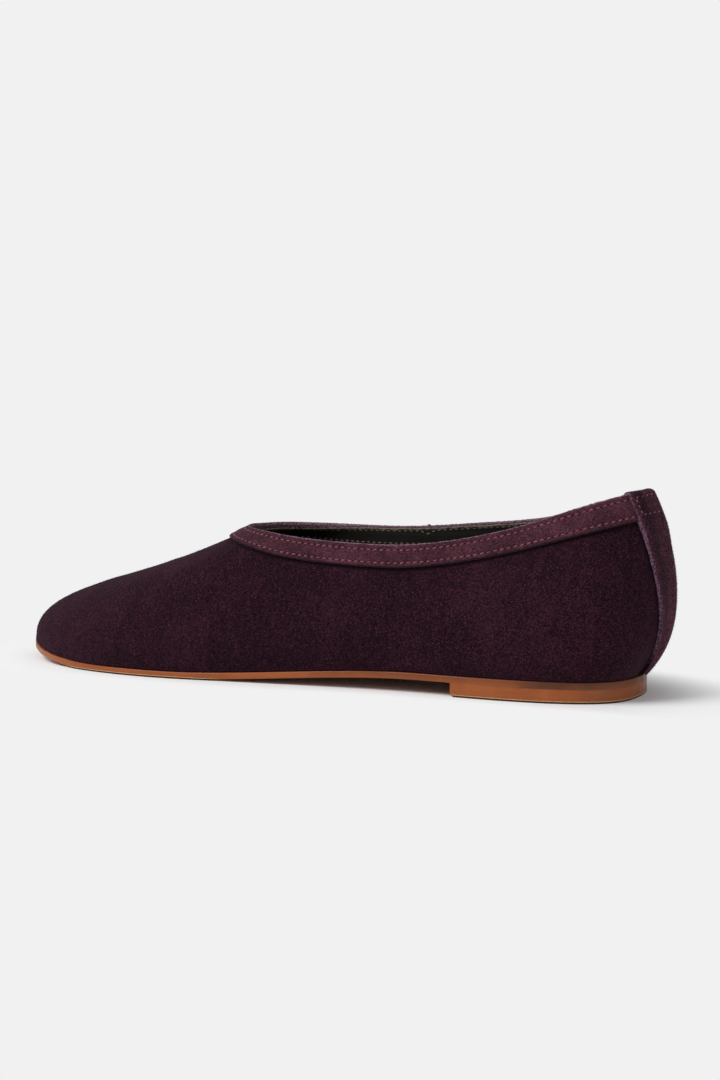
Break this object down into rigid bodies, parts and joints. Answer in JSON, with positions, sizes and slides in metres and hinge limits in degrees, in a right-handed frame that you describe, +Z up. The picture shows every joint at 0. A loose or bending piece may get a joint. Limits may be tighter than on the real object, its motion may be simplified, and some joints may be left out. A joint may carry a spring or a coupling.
{
  "type": "suede ballet flat shoe",
  "caption": "Low women's slip-on shoe, left foot: hollow suede upper, band round the topline, strip down the back, thin leather sole and low heel.",
  "frame": {"origin": "on the floor under the middle of the heel, which is the middle of the heel block's bottom face along its length", "axes": "+X points to the toe, +Y to the outer side of the foot, +Z up from the floor"},
  "size_m": [0.2518, 0.0778, 0.0662],
  "materials": {
    "suede": "matt aubergine suede with a short nap",
    "band_suede": "matt aubergine suede with raw edges and wine-red stitches",
    "strip_suede": "matt aubergine suede with a paler raw edge",
    "sole_leather": "tan leather with a polished edge",
    "heel_leather": "tan leather with a polished edge",
    "insole_leather": "dark brown lining leather, satin"
  },
  "bodies": {
    "root": {"outsole": "sole_leather", "heel": "heel_leather", "insole": "insole_leather", "upper": "suede", "topline_band": "band_suede", "back_strip": "strip_suede"}
  },
  "joints": []
}
